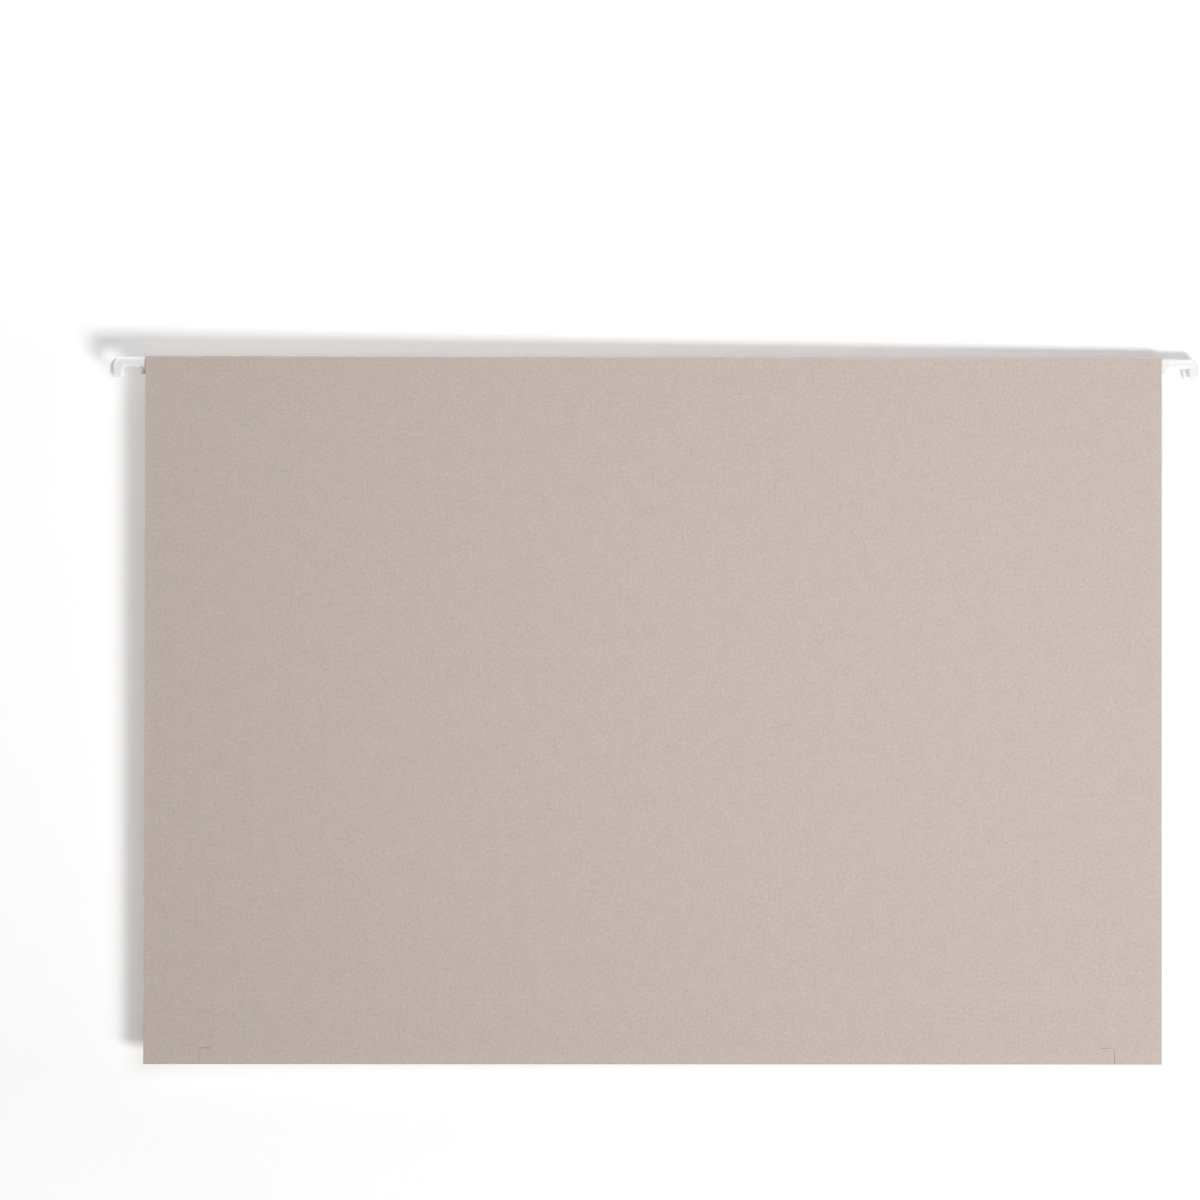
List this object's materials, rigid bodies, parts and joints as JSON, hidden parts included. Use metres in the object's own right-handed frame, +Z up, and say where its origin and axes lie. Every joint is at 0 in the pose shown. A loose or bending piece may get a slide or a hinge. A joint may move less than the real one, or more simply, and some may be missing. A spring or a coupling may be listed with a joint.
{
  "type": "hanging file folder",
  "caption": "Legal-size box-bottom hanging file folder of warm grey paper stock, lying shut, with steel rods in its hems and white moulded hooks that hang on file-drawer rails.",
  "frame": {"origin": "midway between the four rail seats, at the level of the rails' top edges", "axes": "+X along the rods to the right as seen from the front, +Y from the front panel to the back panel, +Z up as the folder hangs"},
  "size_m": [0.402, 0.0056, 0.2603],
  "materials": {
    "paper": "uncoated warm grey paper stock, fine grain",
    "board": "brown pressboard, matt",
    "steel": "cold-rolled strip, bright",
    "tip": "white moulded plastic, satin gloss",
    "glue": "dry adhesive, matt"
  },
  "bodies": {
    "back_rod": {"back_rod": "steel", "back_left_tip": "tip", "back_right_tip": "tip"},
    "back_panel": {"back_panel": "paper", "back_hem": "paper", "back_hem_glue": "glue", "back_crease": "paper"},
    "back_bottom": {"back_bottom": "paper", "back_board": "board", "centre_fold": "paper"},
    "front_rod": {"front_rod": "steel", "front_left_tip": "tip", "front_right_tip": "tip"},
    "front_panel": {"front_panel": "paper", "front_hem": "paper", "front_hem_glue": "glue", "front_crease": "paper"},
    "front_bottom": {"front_bottom": "paper", "front_board": "board"}
  },
  "joints": [
    {"name": "back_rod_float", "type": "slide", "parent": "back_rod", "child": "back_panel", "axis": [1, 0, 0], "range_m": [-0.003, 0.001]},
    {"name": "back_box_crease", "type": "hinge", "parent": "back_panel", "child": "back_bottom", "pos_m": [0, 0.00083, -0.23224], "axis": [-1, 0, 0], "range_deg": [0, 89.6]},
    {"name": "centre_fold", "type": "hinge", "parent": "back_bottom", "child": "front_bottom", "pos_m": [0, 0, -0.25567], "axis": [1, 0, 0], "range_deg": [0, 179.2], "deforming": ["centre_fold"]},
    {"name": "front_box_crease", "type": "hinge", "parent": "front_bottom", "child": "front_panel", "pos_m": [0, -0.00083, -0.23224], "axis": [-1, 0, 0], "range_deg": [0, 89.6]},
    {"name": "front_rod_float", "type": "slide", "parent": "front_panel", "child": "front_rod", "axis": [1, 0, 0], "range_m": [-0.003, 0.001]}
  ],
  "couplings": [
    {"joint": "back_box_crease", "follows": "centre_fold", "ratio": 0.5},
    {"joint": "front_box_crease", "follows": "centre_fold", "ratio": 0.5}
  ]
}
